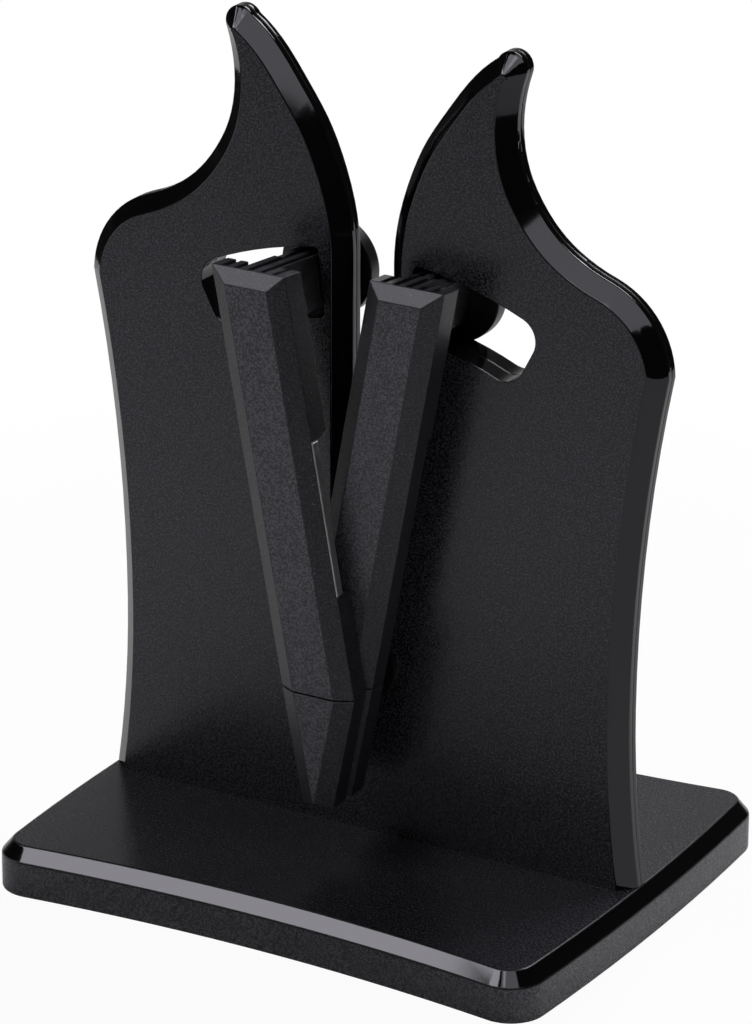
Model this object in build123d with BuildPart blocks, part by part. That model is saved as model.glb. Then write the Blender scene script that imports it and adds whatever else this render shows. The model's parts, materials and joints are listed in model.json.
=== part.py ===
"""A pull through knife sharpener: an upright panel on a base, with two sprung arms that cross."""

import os
from math import cos, radians, sin, tan

from build123d import *

os.makedirs("parts", exist_ok=True)

# Sizes that all pieces share, in millimetres
overrun = 1.0
seat_clearance = 0.05
screw_clearance = 0.05

# Base shell
base_width = 131.0
base_depth = 109.4
base_side_bulge = 2.2
base_edge_draw = 4.7
base_height = 11.15
base_corner_radius = 8.0
base_bevel_height = 3.17
base_bevel_width = 2.6
base_wall = 2.8
base_rib_width = 1.6
base_rib_x = 19.0
base_rib_y = 24.0

# Base cover, its screws and the feet
cover_thickness = 2.2
cover_ledge = 1.6
cover_clearance = 0.15
cover_screw_inset = 19.5
cover_screw_length = 6.5
cover_boss_radius = 3.6
foot_radius = 6.0
foot_recess = 1.2
foot_proud = 0.5
foot_edge_radius = 0.3
foot_side_inset = 15.5
foot_end_inset = 15.7

# Upright panel
panel_front_y = -6.1
panel_thickness = 9.5
panel_height = 178.55
panel_waist_half = 62.2
panel_waist_rise = 39.5
shoulder_spread = 7.1
foot_spread = 3.0
panel_bevel_depth = 3.2
panel_bevel_width = 3.5
gap_half_width = 4.9
gap_bottom_rise = 54.85
tenon_x = 34.0
tenon_length = 22.0
tenon_thickness = 5.5
tenon_depth = 2.6
tenon_clearance = 0.1

# Points of the panel's edge as shares of the shoulder's half width and of the panel's height,
# with the direction that the edge faces there and how far it is drawn in for the face.
shoulder_shares = [(1.004, 0.644, -4, 1), (0.95, 0.706, 35, 1), (0.809, 0.7485, 63, 1)]
horn_shares = [
    (0.809, 0.7485, 63, 1),
    (0.711, 0.7655, 61, 1),
    (0.642, 0.784, 50, 1),
    (0.589, 0.805, 41, 1),
    (0.549, 0.827, 32, 1),
    (0.519, 0.849, 23, 1),
    (0.489, 0.894, 7, 1),
    (0.491, 0.938, -6, 1),
    (0.514, 0.976, 10, 1),
]
tip_shares = [(0.514, 0.976, 10, 1), (0.502, 0.9958, 50, 1.14), (0.42, 0.992, 128, 1)]
gap_shares = [
    (0.42, 0.992, 128, 1),
    (0.341, 0.965, 138, 1),
    (0.251, 0.919, 145, 1),
    (0.18, 0.877, 151, 1),
    (0.124, 0.828, 160, 1),
    (0.087, 0.779, 168, 1),
]
gap_straight_share = 0.722

# Arc slots in the panel, round the arms' pivot
pivot_rise = 50.0
slot_middle_radius = 84.65
slot_width = 15.3
slot_inner_angle = 7.3
slot_outer_angle = 27.1
slot_inner_corner = 1.2
slot_outer_corner = 5.0

# Screws of the panel, the base and the arms
screw_shank_radius = 1.3
screw_head_radius = 2.6
screw_head_height = 1.6
screw_rounding_share = 0.33
countersink_angle = 90
screw_head_clearance = 0.2
panel_screw_length = 6.0
mounting_screw_length = 9.0
mounting_boss_radius = 4.2
front_mounting_inset = 12.2
rear_mounting_x = 13.0
panel_screw_edge = 8.2
panel_screw_low_rise = 18.0
panel_screw_high_rise = 88.0
panel_screw_inner_half = 22.0
panel_screw_inner_rise = 80.0

# Axle, spacer and ring
pin_radius = 2.5
pin_fit = 0.02
pin_head_radius = 4.6
pin_head_height = 2.0
pin_head_sink = 0.4
pin_chamfer = 0.4
spacer_radius = 5.6
spacer_flange_radius = 8.0
spacer_flange_height = 1.6
running_clearance = 0.05
end_play = 0.1
ring_thickness = 0.5
ring_radius = 4.3
ring_groove_depth = 0.5
ring_mouth = 3.0

# Arms
left_face_y = -27.6
right_face_y = -20.1
lean = 10.4
arm_half_width = 8.7
arm_thickness = 7.1
arm_bevel_depth = 2.1
arm_bevel_width = 3.75
arm_top_rise = 91.4
arm_top_bevel_height = 3.2
arm_top_fall_share = 0.1
upper_step_rise = 56.8
upper_step_depth = 1.3
seam_gap = 0.3
rib_pitch = 3.0
rib_groove_width = 1.2
rib_groove_depth = 1.0
rib_groove_count = 5
rib_land = 0.5

# Neck and guide disc
neck_half_width = 4.0
neck_under_gap = 2.5
neck_over_gap = 1.0
neck_curve_share = 0.62
neck_rib_reach = 2.4
disc_radius = 11.0
disc_thickness = 4.2
disc_offset = 0.35
disc_running_gap = 0.4
disc_edge_radius = 1.2
spigot_depth = 1.5
disc_screw_length = 8.0

# Tips
tip_length = 25.9
tip_end_half_width = 3.8
tip_face_end_half_width = 0.2
tip_face_length = 24.8
tongue_x = 6.1
tongue_width = 2.0
tongue_length = 4.0
tongue_thickness = 1.6

# Bearing inside each arm
bush_radius = 3.4
bush_flange_radius = 4.7
bush_flange_thickness = 0.8
bush_proud = 0.17
left_front_wall = 1.75
pin_end_margin = 0.3
left_tongue_start = 2.7
right_tongue_start = 3.2

# Sharpening bars and their holders
bar_start = 21.5
bar_length = 34.0
bar_thickness = 2.7
bar_height = 3.7
bar_edge = 0.3
bar_seat_depth = 0.5
holder_plate = 1.2
holder_lug_length = 2.0
holder_lug_height = 1.6

# Spring round the axle, half in each arm
spring_turns = 2.5
spring_wire_radius = 0.35
spring_mean_radius = 4.3
spring_pocket_depth = 2.2
spring_leg_length = 6.0
spring_clearance = 0.2

# Levels and places worked out from the sizes above
base_bottom = foot_proud
base_top = base_bottom + base_height
pivot_z = base_bottom + pivot_rise
panel_rear_y = panel_front_y + panel_thickness
parting_y = panel_front_y + panel_thickness / 2
seat_z = base_top - base_wall
cover_screw_x = base_width / 2 - cover_screw_inset
foot_x = base_width / 2 - foot_side_inset
foot_y = base_depth / 2 - foot_end_inset
panel_shoulder_half = panel_waist_half + shoulder_spread
panel_foot_half = panel_waist_half + foot_spread
panel_screw_outer_half = panel_waist_half - panel_screw_edge
front_mounting_x = panel_foot_half - front_mounting_inset
slot_inner_radius = slot_middle_radius - slot_width / 2
slot_outer_radius = slot_middle_radius + slot_width / 2
neck_inner_radius = slot_inner_radius + neck_under_gap
neck_outer_radius = slot_outer_radius - neck_over_gap
disc_centre_radius = slot_middle_radius + disc_offset
arm_top_z = pivot_z + arm_top_rise
disc_front_y = panel_rear_y + disc_running_gap
neck_end_y = disc_front_y + spigot_depth
right_rear_y = right_face_y + arm_thickness
left_rear_y = left_face_y + arm_thickness
pin_end_y = left_face_y + left_front_wall + end_play
ring_front_y = pin_end_y + pin_end_margin
left_flange_y = ring_front_y + ring_thickness + end_play
spring_pocket_radius = spring_mean_radius + spring_wire_radius + spring_clearance
pivot_axis = Axis((0, 0, pivot_z), (0, 1, 0))
lean_rad = radians(lean)
arm_side = (cos(lean_rad), 0, -sin(lean_rad))


def upright(y):
    """Plane across the object at y: local x is X, local y is Z, and it faces forward."""
    return Plane.XZ.offset(-y)


def along_arm(y):
    """Plane at y turned with the right arm: local x points outward and local y along the arm."""
    return Plane(origin=(0, y, pivot_z), x_dir=arm_side, z_dir=(0, -1, 0))


def disc_plane(y):
    """Plane at y through the right guide disc's centre, facing back, local y along the arm."""
    x, z = polar(disc_centre_radius, lean)
    return Plane(origin=(x, y, z), x_dir=(-cos(lean_rad), 0, sin(lean_rad)), z_dir=(0, 1, 0))


def leaning(z):
    """How far the arm's middle line has moved sideways at height z."""
    return (z - pivot_z) * tan(lean_rad)


def polar(radius, angle):
    """Point of an upright plane at a radius from the pivot, at an angle from the vertical."""
    return (radius * sin(radians(angle)), pivot_z + radius * cos(radians(angle)))


def save(part, label):
    """Label a finished piece and write it."""
    part.label = label
    export_step(part, f"parts/{label}.step")


def pan_screw(shank_length):
    """Pan head screw standing on its seat: head above, shank below."""
    with BuildPart() as screw:
        Cylinder(screw_head_radius, screw_head_height, align=(Align.CENTER, Align.CENTER, Align.MIN))
        fillet(screw.faces().sort_by(Axis.Z)[-1].edges(), screw_head_height * screw_rounding_share)
        Cylinder(screw_shank_radius, shank_length, align=(Align.CENTER, Align.CENTER, Align.MAX))
    return screw.part


# Base
def base_outline(inset):
    """Plan of the base, drawn in by inset: long edges draw in, short sides bulge."""
    x, y = base_width / 2 - inset, base_depth / 2 - inset
    with BuildSketch() as plan:
        with BuildLine():
            ThreePointArc((-x, -y), (0, base_edge_draw - y), (x, -y))
            ThreePointArc((x, -y), (x + base_side_bulge, 0), (x, y))
            ThreePointArc((x, y), (0, y - base_edge_draw), (-x, y))
            ThreePointArc((-x, y), (-x - base_side_bulge, 0), (-x, -y))
        make_face()
        fillet(plan.vertices(), base_corner_radius - inset)
    return plan.sketch


cover_screw_places = GridLocations(2 * cover_screw_x, 2 * base_rib_y, 2, 2)
front_mounting_y = (panel_front_y + parting_y) / 2
rear_mounting_y = (panel_rear_y + parting_y) / 2
front_mounting_places = [(-front_mounting_x, front_mounting_y), (front_mounting_x, front_mounting_y)]
rear_mounting_places = [(-rear_mounting_x, rear_mounting_y), (rear_mounting_x, rear_mounting_y)]
mounting_places = front_mounting_places + rear_mounting_places
tenon_places = [(-tenon_x, parting_y), (tenon_x, parting_y)]
cavity_floor_z = base_bottom + cover_thickness
cavity_depth = seat_z - cavity_floor_z

with BuildPart() as base_shell:
    with BuildSketch(Plane.XY.offset(base_bottom)):
        add(base_outline(0))
    extrude(amount=base_height - base_bevel_height)
    with BuildSketch(Plane.XY.offset(base_top - base_bevel_height)):
        add(base_outline(0))
    with BuildSketch(Plane.XY.offset(base_top)):
        add(base_outline(base_bevel_width))
    loft(ruled=True)
    with BuildSketch(Plane.XY.offset(base_bottom)):
        add(base_outline(base_wall))
    extrude(amount=cover_thickness, mode=Mode.SUBTRACT)
    with BuildSketch(Plane.XY.offset(cavity_floor_z)):
        add(base_outline(base_wall + cover_ledge))
        with GridLocations(2 * base_rib_x, 0, 2, 1):
            Rectangle(base_rib_width, base_depth, mode=Mode.SUBTRACT)
        with GridLocations(0, 2 * base_rib_y, 1, 2):
            Rectangle(base_width, base_rib_width, mode=Mode.SUBTRACT)
        with cover_screw_places:
            Circle(cover_boss_radius, mode=Mode.SUBTRACT)
        with Locations(*mounting_places):
            Circle(mounting_boss_radius, mode=Mode.SUBTRACT)
    extrude(amount=cavity_depth, mode=Mode.SUBTRACT)
    with BuildSketch(Plane.XY.offset(cavity_floor_z)):
        with cover_screw_places:
            Circle(screw_shank_radius + screw_clearance)
    extrude(amount=cover_screw_length, mode=Mode.SUBTRACT)
    with BuildSketch(Plane.XY.offset(cavity_floor_z)):
        with Locations(*mounting_places):
            Circle(screw_head_radius + screw_head_clearance)
    extrude(amount=cavity_depth, mode=Mode.SUBTRACT)
    with BuildSketch(Plane.XY.offset(seat_z)):
        with Locations(*mounting_places):
            Circle(screw_shank_radius + screw_clearance)
        with Locations(*tenon_places):
            Rectangle(tenon_length + 2 * tenon_clearance, tenon_thickness + 2 * tenon_clearance)
    extrude(amount=base_wall, mode=Mode.SUBTRACT)
save(base_shell.part, "base_shell")

# Base cover, its screws and the feet
foot_places = {
    "foot_front_left": (-foot_x, -foot_y),
    "foot_front_right": (foot_x, -foot_y),
    "foot_rear_left": (-foot_x, foot_y),
    "foot_rear_right": (foot_x, foot_y),
}
with BuildPart() as base_cover:
    with BuildSketch(Plane.XY.offset(base_bottom)):
        add(base_outline(base_wall + cover_clearance))
    extrude(amount=cover_thickness)
    with BuildSketch(Plane.XY.offset(base_bottom)):
        with Locations(*foot_places.values()):
            Circle(foot_radius + seat_clearance)
    extrude(amount=foot_recess, mode=Mode.SUBTRACT)
    with Locations(Plane(origin=(0, 0, base_bottom), z_dir=(0, 0, -1))):
        with cover_screw_places:
            CounterSinkHole(
                screw_shank_radius + screw_clearance,
                screw_head_radius + screw_clearance,
                counter_sink_angle=countersink_angle,
            )
save(base_cover.part, "base_cover")

sunk_head_height = screw_head_radius - screw_shank_radius
with BuildPart() as cover_screws:
    with Locations((0, 0, base_bottom)):
        with cover_screw_places:
            Cone(
                screw_head_radius,
                screw_shank_radius,
                sunk_head_height,
                align=(Align.CENTER, Align.CENTER, Align.MIN),
            )
            Cylinder(
                screw_shank_radius,
                cover_thickness + cover_screw_length - seat_clearance,
                align=(Align.CENTER, Align.CENTER, Align.MIN),
            )
save(cover_screws.part, "cover_screws")

for label, place in foot_places.items():
    with BuildPart() as foot:
        with Locations(place):
            Cylinder(foot_radius, foot_recess + foot_proud, align=(Align.CENTER, Align.CENTER, Align.MIN))
        fillet(foot.faces().sort_by(Axis.Z)[0].edges(), foot_edge_radius)
    save(foot.part, label)


# Panel
def panel_outline(inset):
    """Panel's outline, drawn in by inset, running on below the base's top."""

    def edge_point(x_share, rise_share, facing, inset_share):
        """Point of the edge, drawn in against the direction that the edge faces."""
        x = panel_shoulder_half * x_share - inset * inset_share * cos(radians(facing))
        z = base_top + panel_height * rise_share - inset * inset_share * sin(radians(facing))
        return (x, z)

    below = base_top - panel_bevel_width
    foot = (panel_foot_half - inset, base_top)
    waist = (panel_waist_half - inset, base_top + panel_waist_rise)
    gap_x = gap_half_width + inset
    straight_top = (gap_x, base_top + panel_height * gap_straight_share)
    round_z = base_top + gap_bottom_rise + gap_half_width
    with BuildSketch() as outline:
        with BuildLine():
            Polyline((0, below), (foot[0], below), foot)
            TangentArc(waist, foot, tangent=(0, -1))
            TangentArc(waist, edge_point(*shoulder_shares[0]), tangent=(0, 1))
            ThreePointArc(*[edge_point(*row) for row in shoulder_shares])
            Spline(*[edge_point(*row) for row in horn_shares])
            ThreePointArc(*[edge_point(*row) for row in tip_shares])
            Spline(*[edge_point(*row) for row in gap_shares], straight_top)
            Line(straight_top, (gap_x, round_z))
            TangentArc((gap_x, round_z), (0, round_z - gap_x), tangent=(0, -1))
            mirror(about=Plane.YZ)
        make_face()
    return outline.sketch


def slot_outline():
    """Outline of the right slot: a band round the pivot, blunt at its outer end."""
    middle = (slot_inner_angle + slot_outer_angle) / 2
    low_in, high_in = [polar(r, slot_inner_angle) for r in (slot_inner_radius, slot_outer_radius)]
    low_out, high_out = [polar(r, slot_outer_angle) for r in (slot_inner_radius, slot_outer_radius)]
    with BuildSketch() as slot:
        with BuildLine():
            ThreePointArc(low_in, polar(slot_inner_radius, middle), low_out)
            Line(low_out, high_out)
            ThreePointArc(high_out, polar(slot_outer_radius, middle), high_in)
            Line(high_in, low_in)
        make_face()
        fillet(slot.vertices().sort_by(Axis.X)[:2], slot_inner_corner)
        fillet(slot.vertices().sort_by(Axis.X)[-2:], slot_outer_corner)
    return slot.sketch


panel_screw_places = [
    (side * x, panel_rear_y, base_top + rise)
    for side in (-1, 1)
    for x, rise in (
        (panel_screw_outer_half, panel_screw_low_rise),
        (panel_screw_outer_half, panel_screw_high_rise),
        (panel_screw_inner_half, panel_screw_inner_rise),
    )
]
panel_screw_seat_depth = screw_head_height + seat_clearance


def panel_half(face_y, bevel_depth, mounting):
    """Half of the panel, from the parting plane out to its bevelled face."""
    rim_y = face_y + bevel_depth
    forward = parting_y - rim_y
    tenon_side = Align.MAX if forward > 0 else Align.MIN
    with BuildPart() as half:
        with BuildSketch(upright(parting_y)):
            add(panel_outline(0))
        extrude(amount=forward)
        with BuildSketch(upright(rim_y)):
            add(panel_outline(0))
        with BuildSketch(upright(face_y)):
            add(panel_outline(panel_bevel_width))
        loft(ruled=True)
        split(bisect_by=Plane.XY.offset(base_top), keep=Keep.TOP)
        with BuildSketch(upright(parting_y)):
            add(slot_outline())
            mirror(about=Plane.YZ)
            with Locations((0, pivot_z)):
                Circle(pin_radius + pin_fit)
        extrude(amount=panel_thickness, both=True, mode=Mode.SUBTRACT)
        with BuildSketch(Plane.XY.offset(base_top)):
            with Locations(*tenon_places):
                Rectangle(tenon_length, tenon_thickness / 2, align=(Align.CENTER, tenon_side))
        extrude(amount=-tenon_depth)
        with BuildSketch(Plane.XY.offset(base_top)):
            with Locations(*mounting):
                Circle(screw_shank_radius + screw_clearance)
        extrude(amount=mounting_screw_length - base_wall + seat_clearance, mode=Mode.SUBTRACT)
        with Locations(*[Plane(origin=place, z_dir=(0, 1, 0)) for place in panel_screw_places]):
            CounterBoreHole(
                screw_shank_radius + screw_clearance,
                screw_head_radius + screw_clearance,
                panel_screw_seat_depth,
                panel_screw_seat_depth + panel_screw_length + seat_clearance,
            )
        with Locations(Plane(origin=(0, panel_rear_y, pivot_z), z_dir=(0, 1, 0))):
            CounterBoreHole(
                pin_radius + pin_fit,
                pin_head_radius + screw_clearance,
                pin_head_height + pin_head_sink,
                panel_thickness,
            )
    return half.part


save(panel_half(panel_front_y, panel_bevel_depth, front_mounting_places), "panel_front")
save(panel_half(panel_rear_y, -panel_bevel_depth, rear_mounting_places), "panel_rear")

with BuildPart() as panel_screws:
    with Locations(*[
        Plane(origin=(x, y - panel_screw_seat_depth, z), z_dir=(0, 1, 0)) for x, y, z in panel_screw_places
    ]):
        add(pan_screw(panel_screw_length))
save(panel_screws.part, "panel_screws")

with BuildPart() as mounting_screws:
    with Locations(*[Plane(origin=(x, y, seat_z), z_dir=(0, 0, -1)) for x, y in mounting_places]):
        add(pan_screw(mounting_screw_length))
save(mounting_screws.part, "mounting_screws")


# Axle, ring and spacer
def turned(*profile):
    """Solid turned round the pivot's axis from a closed profile of (y, radius) points."""
    with BuildPart() as piece:
        with BuildSketch(Plane.YZ):
            with BuildLine():
                Polyline(*[(y, pivot_z + radius) for y, radius in profile], close=True)
            make_face()
        revolve(axis=pivot_axis)
    return piece.part


pin_seat_y = panel_rear_y - pin_head_height - pin_head_sink
ring_groove_radius = pin_radius - ring_groove_depth
save(
    turned(
        (pin_seat_y + pin_head_height, 0),
        (pin_seat_y + pin_head_height, pin_head_radius - pin_chamfer),
        (pin_seat_y + pin_head_height - pin_chamfer, pin_head_radius),
        (pin_seat_y, pin_head_radius),
        (pin_seat_y, pin_radius),
        (ring_front_y + ring_thickness + seat_clearance, pin_radius),
        (ring_front_y + ring_thickness + seat_clearance, ring_groove_radius),
        (ring_front_y - seat_clearance, ring_groove_radius),
        (ring_front_y - seat_clearance, pin_radius),
        (pin_end_y, pin_radius),
        (pin_end_y, 0),
    ),
    "pivot_pin",
)

with BuildPart() as retaining_ring:
    with BuildSketch(upright(ring_front_y + ring_thickness)):
        with Locations((0, pivot_z)):
            Circle(ring_radius)
            Circle(ring_groove_radius + seat_clearance, mode=Mode.SUBTRACT)
            Rectangle(ring_mouth, ring_radius, align=(Align.CENTER, Align.MAX), mode=Mode.SUBTRACT)
    extrude(amount=ring_thickness)
save(retaining_ring.part, "retaining_ring")

spacer_bore = pin_radius + running_clearance
save(
    turned(
        (panel_front_y, spacer_bore),
        (panel_front_y, spacer_flange_radius),
        (panel_front_y - spacer_flange_height, spacer_flange_radius),
        (panel_front_y - spacer_flange_height, spacer_radius),
        (right_rear_y + end_play, spacer_radius),
        (right_rear_y + end_play, spacer_bore),
    ),
    "pivot_spacer",
)


# Arms, drawn as the right one; the left one is mirrored
def arm_outline(bevel):
    """Outline of the arm's flat part above the seam, drawn in by the share of its bevel."""
    half = (arm_half_width - bevel * arm_bevel_width) / cos(lean_rad)
    low, high = pivot_z + seam_gap / 2, arm_top_z - bevel * arm_top_bevel_height
    with BuildSketch() as outline:
        with BuildLine():
            Polyline(
                (leaning(low) - half, low),
                (leaning(low) + half, low),
                (leaning(high) + half, high),
                (leaning(high) - half, high),
                close=True,
            )
        make_face()
    return outline.sketch


def tip_outline(bevel):
    """Outline of the tip below the seam, at the bevel's edge or on the face."""
    half = (arm_half_width - bevel * arm_bevel_width) / cos(lean_rad)
    end_half = tip_face_end_half_width if bevel else tip_end_half_width
    high, low = pivot_z - seam_gap / 2, pivot_z - (tip_face_length if bevel else tip_length)
    with BuildSketch() as outline:
        with BuildLine():
            Polyline((-half, high), (half, high), (end_half, low), (-end_half, low), close=True)
        make_face()
    return outline.sketch


def bearing_space(layer):
    """Space for the bush, the spring and the ring, cut from an arm and its tip alike."""
    with BuildPart() as space:
        for start_y, end_y, radius in layer:
            with BuildSketch(upright(end_y)):
                with Locations((0, pivot_z)):
                    Circle(radius)
            extrude(amount=end_y - start_y)
    return space.part


def tongue_outlines(clearance):
    """The two tongues that stand on a tip's seam face, seen from above."""
    with BuildSketch() as tongues:
        with GridLocations(2 * tongue_x, 0, 2, 1):
            Rectangle(tongue_width + 2 * clearance, tongue_thickness + 2 * clearance)
    return tongues.sketch


def build_tip(face_y, layer, tongue_y):
    """Pointed lower half of the split bearing, with two tongues up into the arm."""
    bevel_y, rear_y = face_y + arm_bevel_depth, face_y + arm_thickness
    with BuildPart() as tip:
        with BuildSketch(upright(rear_y)):
            add(tip_outline(0))
        extrude(amount=rear_y - bevel_y)
        with BuildSketch(upright(bevel_y)):
            add(tip_outline(0))
        with BuildSketch(upright(face_y)):
            add(tip_outline(1))
        loft(ruled=True)
        with BuildSketch(Plane.XY.offset(pivot_z - seam_gap / 2)):
            with Locations((0, tongue_y)):
                add(tongue_outlines(0))
        extrude(amount=tongue_length)
        add(bearing_space(layer), mode=Mode.SUBTRACT)
    return tip.part


def build_arm(face_y, layer, tongue_y, notch_y):
    """Arm with its ribbed top, bar pocket and the neck that curves back through the slot."""
    bevel_y, rear_y = face_y + arm_bevel_depth, face_y + arm_thickness
    upper_rear_y = rear_y + upper_step_depth
    neck_length = neck_end_y - bevel_y + overrun
    upper_z = pivot_z + upper_step_rise
    curve = (panel_front_y - upper_rear_y) * neck_curve_share
    neck_under, neck_top = neck_inner_radius, arm_top_rise / cos(lean_rad) + arm_bevel_width
    straight_y = upper_rear_y + curve
    top = Plane(
        origin=(leaning(arm_top_z), bevel_y, arm_top_z), x_dir=(1, 0, 0), z_dir=(0, arm_top_fall_share, 1)
    )
    bend = (upper_rear_y + curve * (1 - cos(radians(45))), neck_under - curve * (1 - sin(radians(45))))
    pocket_floor = arm_half_width - bar_height + bar_seat_depth - holder_plate
    with BuildPart() as arm:
        with BuildSketch(upright(rear_y)):
            add(arm_outline(0))
        extrude(amount=rear_y - bevel_y)
        with BuildSketch(upright(bevel_y)):
            add(arm_outline(0))
        with BuildSketch(upright(face_y)):
            add(arm_outline(1))
        loft(ruled=True)
        with BuildSketch(upright(rear_y)):
            add(arm_outline(0))
            Rectangle(base_width, 2 * upper_z, mode=Mode.SUBTRACT)
        extrude(amount=-upper_step_depth)
        with BuildSketch(Plane(origin=(0, 0, pivot_z), x_dir=(0, 1, 0), z_dir=arm_side)):
            with BuildLine():
                Polyline(
                    (upper_rear_y, neck_under - curve),
                    (rear_y, neck_under - curve),
                    (rear_y, neck_top),
                    (neck_end_y, neck_top),
                    (neck_end_y, neck_under),
                    (straight_y, neck_under),
                )
                ThreePointArc((straight_y, neck_under), bend, (upper_rear_y, neck_under - curve))
            make_face()
        extrude(amount=neck_half_width, both=True)
        # The top falls towards the back, and the neck's end is turned to the slot's curve
        split(bisect_by=top, keep=Keep.BOTTOM)
        with BuildSketch(upright(neck_end_y + overrun)):
            with Locations((0, pivot_z)):
                Circle(neck_outer_radius + arm_thickness)
                Circle(neck_outer_radius, mode=Mode.SUBTRACT)
        extrude(amount=neck_end_y + overrun - straight_y, mode=Mode.SUBTRACT)
        # Grooves between the ribs of the top, and the step beside the neck's last rib
        with BuildSketch(top):
            with Locations((0, rib_land)):
                with GridLocations(rib_pitch, 0, rib_groove_count, 1):
                    Rectangle(rib_groove_width, neck_length, align=(Align.CENTER, Align.MIN))
            with Locations((neck_rib_reach, upper_rear_y - bevel_y)):
                Rectangle(neck_half_width, neck_length, align=(Align.MIN, Align.MIN))
        extrude(amount=-rib_groove_depth, mode=Mode.SUBTRACT)
        # Recess for the bar and its holder in the inner side
        with BuildSketch(along_arm(rear_y)):
            with Locations((-arm_half_width - overrun, bar_start - seat_clearance)):
                Rectangle(
                    arm_half_width + overrun - pocket_floor,
                    bar_length + 2 * seat_clearance,
                    align=(Align.MIN, Align.MIN),
                )
        extrude(amount=rear_y - bevel_y, mode=Mode.SUBTRACT)
        # Sockets for the tip's tongues and a notch for the spring's leg
        with BuildSketch(Plane.XY.offset(pivot_z)):
            with Locations((0, tongue_y)):
                add(tongue_outlines(seat_clearance))
        extrude(amount=tongue_length, mode=Mode.SUBTRACT)
        with BuildSketch(upright(notch_y)):
            with Locations((spring_mean_radius, pivot_z)):
                Rectangle(
                    2 * (spring_wire_radius + spring_clearance),
                    spring_leg_length + spring_clearance,
                    align=(Align.CENTER, Align.MIN),
                )
        extrude(amount=spring_pocket_depth, mode=Mode.SUBTRACT)
        add(bearing_space(layer), mode=Mode.SUBTRACT)
        with Locations(disc_plane(neck_end_y)):
            Hole(screw_shank_radius + screw_clearance, disc_screw_length)
    return arm.part


def build_disc():
    """Guide disc that runs behind the panel, with a recess for the neck's end and one for its screw."""
    neck_high = neck_outer_radius - disc_centre_radius
    neck_low = neck_inner_radius - disc_centre_radius
    with BuildPart() as disc:
        with BuildSketch(disc_plane(disc_front_y)):
            Circle(disc_radius)
        extrude(amount=disc_thickness)
        fillet(disc.faces().sort_by(Axis.Y)[-1].edges(), disc_edge_radius)
        with BuildSketch(disc_plane(disc_front_y)):
            with Locations((0, neck_low - seat_clearance)):
                Rectangle(
                    2 * (neck_half_width + seat_clearance),
                    neck_high - neck_low + 2 * seat_clearance,
                    align=(Align.CENTER, Align.MIN),
                )
        extrude(amount=spigot_depth, mode=Mode.SUBTRACT)
        with Locations(disc_plane(disc_front_y + disc_thickness)):
            CounterBoreHole(
                screw_shank_radius + screw_clearance,
                screw_head_radius + screw_clearance,
                screw_head_height + seat_clearance,
                disc_thickness,
            )
    return disc.part


def build_disc_screw():
    """Screw that holds the disc on the neck's end."""
    seat_y = disc_front_y + disc_thickness - screw_head_height - seat_clearance
    with BuildPart() as screw:
        with Locations(disc_plane(seat_y)):
            add(pan_screw(disc_screw_length))
    return screw.part


def build_bar(face_y):
    """Sharpening bar, flush with the arm's inner side, its long edges broken."""
    bevel_y = face_y + arm_bevel_depth
    with BuildPart() as bar:
        with BuildSketch(along_arm(bevel_y + bar_thickness)):
            with Locations((-arm_half_width, bar_start)):
                Rectangle(bar_height, bar_length, align=(Align.MIN, Align.MIN))
        extrude(amount=bar_thickness)
        outer = bar.faces().sort_by(Axis((0, 0, 0), arm_side))[0]
        chamfer(outer.edges(), bar_edge)
    return bar.part


def build_holder(face_y):
    """Holder on the recess floor: a plate with a seat for the bar and a lug behind each end."""
    bevel_y, rear_y = face_y + arm_bevel_depth, face_y + arm_thickness
    seat_x = bar_height - arm_half_width
    bar_rear_y = bevel_y + bar_thickness + seat_clearance
    with BuildPart() as holder:
        with BuildSketch(along_arm(rear_y)):
            with Locations((seat_x, bar_start)):
                Rectangle(holder_plate - bar_seat_depth, bar_length, align=(Align.MIN, Align.MIN))
        extrude(amount=rear_y - bevel_y)
        with BuildSketch(along_arm(rear_y)):
            with Locations((seat_x, bar_start)):
                Rectangle(bar_seat_depth, bar_length, align=(Align.MAX, Align.MIN))
            with Locations((seat_x - bar_seat_depth, bar_start)):
                Rectangle(holder_lug_height, holder_lug_length, align=(Align.MAX, Align.MIN))
            with Locations((seat_x - bar_seat_depth, bar_start + bar_length)):
                Rectangle(holder_lug_height, holder_lug_length, align=(Align.MAX, Align.MAX))
        extrude(amount=rear_y - bar_rear_y)
    return holder.part


def build_bush(front_y, rear_y, flange_first):
    """Bearing bush with its flange at the front or at the rear end."""
    inner = pin_radius + running_clearance
    step_y = front_y + bush_flange_thickness if flange_first else rear_y - bush_flange_thickness
    front_radius, rear_radius = (
        (bush_flange_radius, bush_radius) if flange_first else (bush_radius, bush_flange_radius)
    )
    return turned(
        (front_y, inner),
        (front_y, front_radius),
        (step_y, front_radius),
        (step_y, rear_radius),
        (rear_y, rear_radius),
        (rear_y, inner),
    )


bush_bore = bush_radius + seat_clearance
flange_bore = bush_flange_radius + seat_clearance
left_bores = [
    (left_face_y + left_front_wall, left_flange_y + bush_flange_thickness, flange_bore),
    (left_face_y + left_front_wall, left_rear_y, bush_bore),
    (left_rear_y - spring_pocket_depth, left_rear_y, spring_pocket_radius),
]
right_bores = [
    (right_face_y, right_rear_y, bush_bore),
    (right_face_y, right_face_y + spring_pocket_depth, spring_pocket_radius),
    (right_rear_y - bush_flange_thickness, right_rear_y, flange_bore),
]
left_tongue_y = left_face_y + left_tongue_start + tongue_thickness / 2
right_tongue_y = right_face_y + right_tongue_start + tongue_thickness / 2

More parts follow.
